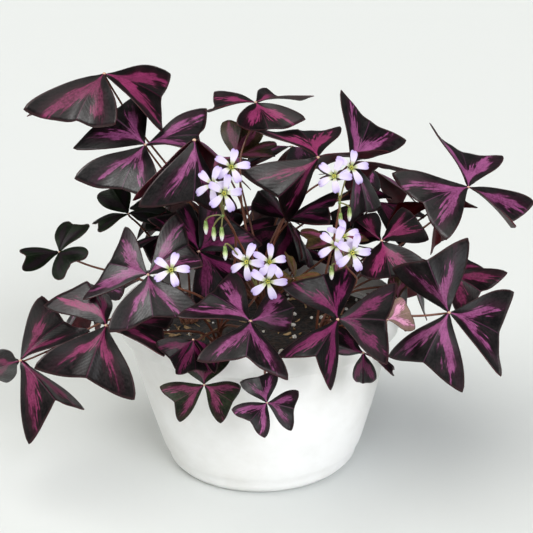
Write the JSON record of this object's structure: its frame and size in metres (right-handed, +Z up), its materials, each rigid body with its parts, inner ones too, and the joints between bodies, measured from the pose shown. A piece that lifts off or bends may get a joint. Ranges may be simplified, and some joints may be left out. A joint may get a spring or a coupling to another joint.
{
  "type": "potted purple shamrock",
  "caption": "Potted purple shamrock: thin stalks in clumps, wide folded three-part leaves and small lilac flower heads above a round white nursery pan of soil.",
  "frame": {"origin": "middle of the pot's flat bottom", "axes": "+Z up along the pot's axis; the plant's show side faces -Y"},
  "size_m": [0.3923, 0.2922, 0.2839],
  "materials": {
    "pot": "satin white moulded plastic",
    "soil": "damp crumbly bark and peat mix with white grit",
    "stalks": "smooth satin red-brown stalks",
    "blade": "dark purple with a magenta middle, satin",
    "flowers": "thin matte lilac petals with a yellow-green throat"
  },
  "bodies": {
    "root": {"pot": "pot", "soil": "soil", "stalks_front_left": "stalks", "stalks_front_right": "stalks", "stalks_left": "stalks", "stalks_middle": "stalks", "stalks_rear": "stalks", "stalks_right": "stalks", "leaf_centre": "blade", "leaf_centre_low_left": "blade", "leaf_centre_top": "blade", "leaf_crown_left": "blade", "leaf_crown_top": "blade", "leaf_deep_far_left": "blade", "leaf_deep_left": "blade", "leaf_deep_right": "blade", "leaf_far_left": "blade", "leaf_far_left_dark": "blade", "leaf_far_right_top": "blade", "leaf_front_left": "blade", "leaf_front_right": "blade", "leaf_inner_dark": "blade", "leaf_inner_left": "blade", "leaf_inner_left_top": "blade", "leaf_left_dark": "blade", "leaf_left_mid": "blade", "leaf_low_left": "blade", "leaf_olive_centre": "blade", "leaf_pot_front": "blade", "leaf_pot_left": "blade", "leaf_rear_low_1": "blade", "leaf_rear_low_2": "blade", "leaf_rear_low_3": "blade", "leaf_rear_low_4": "blade", "leaf_rear_middle_1": "blade", "leaf_rear_middle_2": "blade", "leaf_rear_middle_3": "blade", "leaf_rear_top_1": "blade", "leaf_rear_top_2": "blade", "leaf_right_behind": "blade", "leaf_right_blue": "blade", "leaf_right_low": "blade", "leaf_right_mid": "blade", "leaf_right_olive": "blade", "leaf_right_under": "blade", "leaf_rim_left": "blade", "leaf_rim_right": "blade", "leaf_top_left": "blade", "leaf_top_right": "blade", "leaf_upper_left": "blade", "leaf_young_centre": "blade", "leaf_young_right": "blade", "flowers_left": "flowers", "flowers_low_left": "flowers", "flowers_low_right": "flowers", "flowers_middle": "flowers", "flowers_right": "flowers"}
  },
  "joints": []
}
